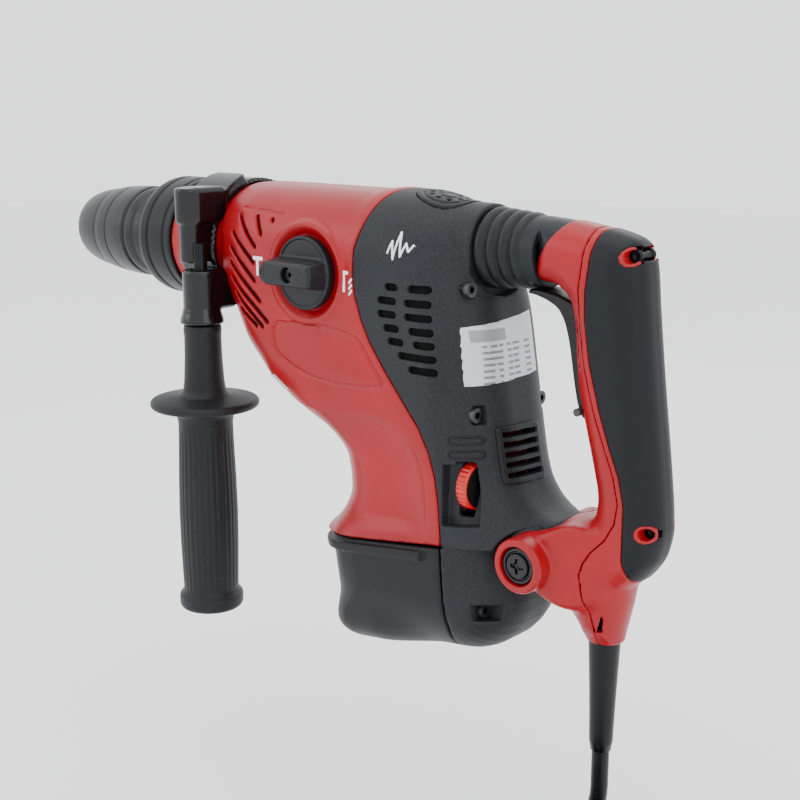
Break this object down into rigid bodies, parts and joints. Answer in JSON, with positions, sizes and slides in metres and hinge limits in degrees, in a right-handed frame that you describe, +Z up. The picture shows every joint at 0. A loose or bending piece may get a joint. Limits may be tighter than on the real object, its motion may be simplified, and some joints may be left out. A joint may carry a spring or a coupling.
{
  "type": "rotary hammer",
  "caption": "L-shaped corded rotary hammer with a keyless chuck, mode dial, swivelling side handle and a sprung rear D-handle with trigger.",
  "frame": {"origin": "mouth of the tool holder, on the hammer axis", "axes": "-X out of the tool holder, +X to the rear handle, -Y the side with the mode dial, +Z up"},
  "size_m": [0.4933, 0.1575, 0.3664],
  "materials": {
    "red_shell": "fine satin texture",
    "dark_shell": "grained",
    "base_shell": "satin",
    "rubber": "soft satin",
    "casting": "cast",
    "label": "satin foil",
    "black_screws": "black zinc",
    "steel": "ground",
    "lamination": "varnished",
    "copper": "enamelled",
    "inner_plastic": "moulded",
    "brush_brass": "pressed",
    "carbon": "carbon",
    "board": "potted",
    "light_alloy": "machined",
    "ring_seal": "satin",
    "gloss_black": "glossy",
    "grip": "fine grained",
    "dial": "satin",
    "wheel": "satin",
    "trigger": "satin",
    "cord": "satin",
    "pins": "plated"
  },
  "bodies": {
    "housing": {"gear_cover": "red_shell", "rear_cover": "dark_shell", "base_cap": "base_shell", "front_collar": "rubber", "barrel_casting": "casting", "gear_deck": "casting", "gear_plate": "casting", "crank_cap": "dark_shell", "type_plate": "label", "rear_grille": "dark_shell", "housing_screws": "black_screws", "spindle_bearings": "steel", "motor_bearings": "steel", "stator_core": "lamination", "stator_windings": "copper", "motor_end_plate": "inner_plastic", "brush_holders": "brush_brass", "carbon_brushes": "carbon", "speed_module": "board", "speed_dial_base": "inner_plastic", "bellows": "rubber", "handle_spring": "steel"},
    "armature": {"armature_shaft": "steel", "armature_core": "lamination", "commutator": "copper", "cooling_fan": "inner_plastic"},
    "crank": {"crankshaft": "steel"},
    "rod": {"connecting_rod": "steel"},
    "piston_set": {"piston": "light_alloy", "piston_ring": "ring_seal", "wrist_pin": "steel"},
    "striker_set": {"striker": "steel"},
    "bolt_set": {"impact_bolt": "steel"},
    "drive": {"drive_shaft": "steel"},
    "spindle": {"tool_holder": "steel", "spindle_tube": "steel", "spindle_gear": "steel", "lock_rollers": "steel", "nose_cap": "rubber"},
    "sleeve": {"locking_sleeve": "rubber", "chuck_spring": "steel"},
    "side_handle": {"side_clamp": "gloss_black"},
    "grip": {"side_grip": "grip", "clamp_bolt": "steel"},
    "dial": {"mode_dial": "dial", "dial_screw": "black_screws"},
    "wheel": {"speed_wheel": "wheel"},
    "rear_handle": {"handle_front": "red_shell", "handle_rear": "red_shell", "grip_pad": "rubber", "handle_screws": "black_screws", "pivot_bolts": "black_screws", "power_switch": "inner_plastic", "strain_relief": "cord", "power_cord": "cord", "cord_coil": "cord", "plug_body": "cord", "plug_pins": "pins"},
    "trigger_lever": {"trigger": "trigger"}
  },
  "joints": [
    {"name": "motor_spin", "type": "hinge", "parent": "housing", "child": "armature", "pos_m": [0.279, 0, -0.11], "axis": [0, 0, 1], "continuous": true},
    {"name": "crank_spin", "type": "hinge", "parent": "housing", "child": "crank", "pos_m": [0.305, 0, -0.05], "axis": [0, 0, 1], "continuous": true},
    {"name": "drive_spin", "type": "hinge", "parent": "housing", "child": "drive", "pos_m": [0.245, 0, -0.05], "axis": [0, 0, 1], "continuous": true},
    {"name": "spindle_spin", "type": "hinge", "parent": "housing", "child": "spindle", "pos_m": [0, 0, 0], "axis": [1, 0, 0], "continuous": true},
    {"name": "sleeve_slide", "type": "slide", "parent": "spindle", "child": "sleeve", "axis": [1, 0, 0], "range_m": [0, 0.008], "stiffness_N_per_m": 1500, "springref_m": -0.006, "deforming": ["chuck_spring"]},
    {"name": "piston_slide", "type": "slide", "parent": "housing", "child": "piston_set", "axis": [-1, 0, 0], "range_m": [0, 0.024]},
    {"name": "rod_swing", "type": "hinge", "parent": "piston_set", "child": "rod", "pos_m": [0.251, 0, 0], "axis": [0, 0, 1], "range_deg": [-10.5, 10.5]},
    {"name": "striker_slide", "type": "slide", "parent": "housing", "child": "striker_set", "axis": [-1, 0, 0], "range_m": [0, 0.006]},
    {"name": "bolt_slide", "type": "slide", "parent": "housing", "child": "bolt_set", "axis": [-1, 0, 0], "range_m": [0, 0.005]},
    {"name": "side_handle_swivel", "type": "hinge", "parent": "housing", "child": "side_handle", "pos_m": [0.141, 0, 0], "axis": [1, 0, 0], "continuous": true},
    {"name": "grip_screw", "type": "hinge", "parent": "side_handle", "child": "grip", "pos_m": [0.159, -0.048, -0.1], "axis": [0, 0, 1], "continuous": true},
    {"name": "mode_dial_turn", "type": "hinge", "parent": "housing", "child": "dial", "pos_m": [0.236, -0.042, -0.008], "axis": [0, 1, 0], "range_deg": [0, 180]},
    {"name": "speed_wheel_turn", "type": "hinge", "parent": "housing", "child": "wheel", "pos_m": [0.34, -0.024, -0.108], "axis": [1, 0, 0], "range_deg": [0, 270]},
    {"name": "handle_swing", "type": "hinge", "parent": "housing", "child": "rear_handle", "pos_m": [0.376, 0, -0.14], "axis": [0, 1, 0], "range_deg": [-2.5, 0], "stiffness_Nm_per_rad": 350, "springref_deg": 0.69, "deforming": ["bellows", "handle_spring"]},
    {"name": "trigger_pull", "type": "hinge", "parent": "rear_handle", "child": "trigger_lever", "pos_m": [0.393, 0, -0.064], "axis": [0, 1, 0], "range_deg": [0, 7], "stiffness_Nm_per_rad": 1.2, "springref_deg": -8.59}
  ],
  "couplings": [
    {"joint": "motor_spin", "follows": "crank_spin", "ratio": -5.5},
    {"joint": "drive_spin", "follows": "crank_spin", "ratio": 0.73333},
    {"joint": "spindle_spin", "follows": "crank_spin", "ratio": 0.14667}
  ]
}
